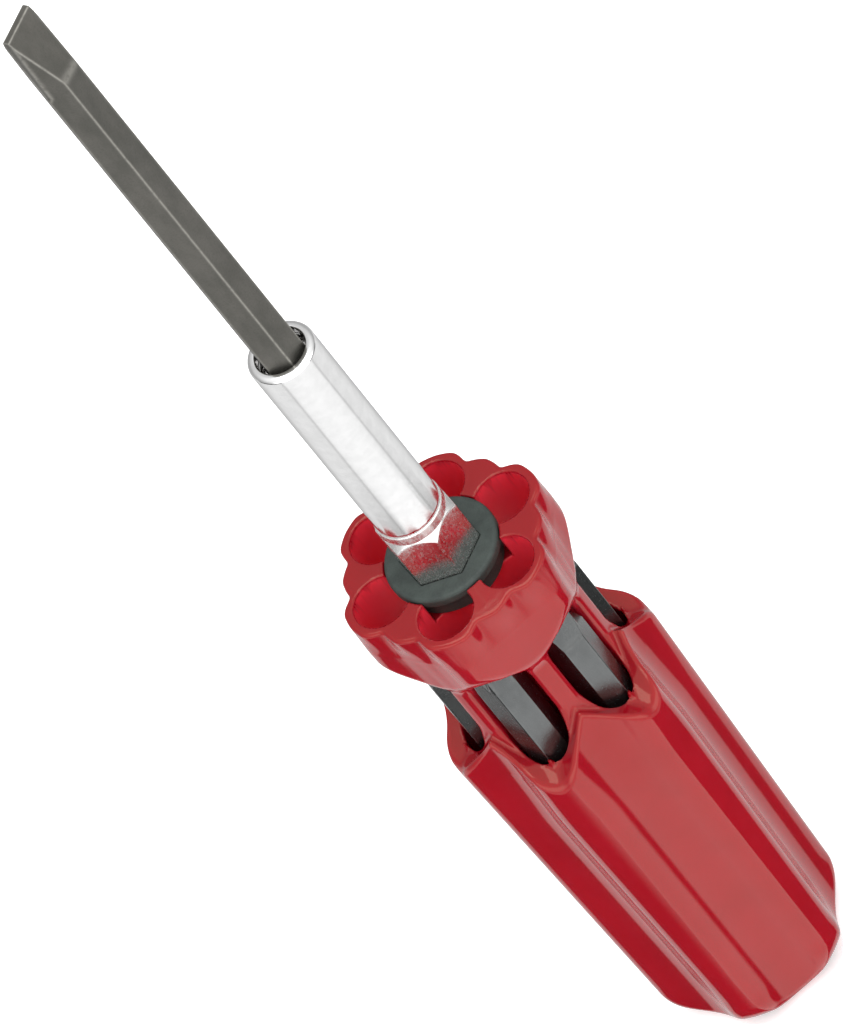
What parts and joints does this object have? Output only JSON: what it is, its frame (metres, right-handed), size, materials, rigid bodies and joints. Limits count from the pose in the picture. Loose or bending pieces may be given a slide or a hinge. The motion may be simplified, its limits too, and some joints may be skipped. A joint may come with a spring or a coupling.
{
  "type": "multi-bit screwdriver",
  "caption": "Multi-bit screwdriver: lobed red handle with interchangeable hex bits stored round its neck under a scalloped collar, hex shank with a bright bit holder, and a slotted bit fitted.",
  "frame": {"origin": "centre of the flat end of the butt", "axes": "+Z along the tool from the butt to the tip; a stored bit lies towards +X, and a flute of the grip towards -Y"},
  "size_m": [0.0368, 0.0344, 0.2505],
  "materials": {
    "red_plastic": "glossy moulded red plastic",
    "black_rubber": "matt dark grey-black moulded rubber",
    "plated_hex": "bright plating on drawn hex bar with fine drawing marks",
    "plated_tube": "bright smooth plating",
    "magnet_metal": "nickel-plated magnet",
    "spring_steel": "bright spring steel",
    "dark_bit_steel": "dark phosphated tool steel, worn lighter on the edges"
  },
  "bodies": {
    "handle": {"handle_body": "red_plastic", "bit_grip_grommet": "black_rubber", "hex_shank": "plated_hex", "bit_holder_sleeve": "plated_tube", "holder_magnet": "magnet_metal", "bit_spring_ring": "spring_steel"},
    "fitted_bit": {"bit_slotted_6mm": "dark_bit_steel"},
    "stored_phillips_1": {"bit_phillips_1": "dark_bit_steel"},
    "stored_square_1": {"bit_square_1": "dark_bit_steel"},
    "stored_square_2": {"bit_square_2": "dark_bit_steel"},
    "stored_phillips_3": {"bit_phillips_3": "dark_bit_steel"},
    "stored_phillips_2": {"bit_phillips_2": "dark_bit_steel"},
    "stored_slotted_4mm": {"bit_slotted_4mm": "dark_bit_steel"}
  },
  "joints": [
    {"name": "fitted_bit_pull", "type": "slide", "parent": "handle", "child": "fitted_bit", "axis": [0, 0, 1], "range_m": [0, 0.025]},
    {"name": "phillips_1_push_out", "type": "slide", "parent": "handle", "child": "stored_phillips_1", "axis": [0, 0, 1], "range_m": [0, 0.115], "deforming": ["bit_grip_grommet"]},
    {"name": "square_1_push_out", "type": "slide", "parent": "handle", "child": "stored_square_1", "axis": [0, 0, 1], "range_m": [0, 0.115], "deforming": ["bit_grip_grommet"]},
    {"name": "square_2_push_out", "type": "slide", "parent": "handle", "child": "stored_square_2", "axis": [0, 0, 1], "range_m": [0, 0.115], "deforming": ["bit_grip_grommet"]},
    {"name": "phillips_3_push_out", "type": "slide", "parent": "handle", "child": "stored_phillips_3", "axis": [0, 0, 1], "range_m": [0, 0.115], "deforming": ["bit_grip_grommet"]},
    {"name": "phillips_2_push_out", "type": "slide", "parent": "handle", "child": "stored_phillips_2", "axis": [0, 0, 1], "range_m": [0, 0.115], "deforming": ["bit_grip_grommet"]},
    {"name": "slotted_4mm_push_out", "type": "slide", "parent": "handle", "child": "stored_slotted_4mm", "axis": [0, 0, 1], "range_m": [0, 0.115], "deforming": ["bit_grip_grommet"]}
  ]
}
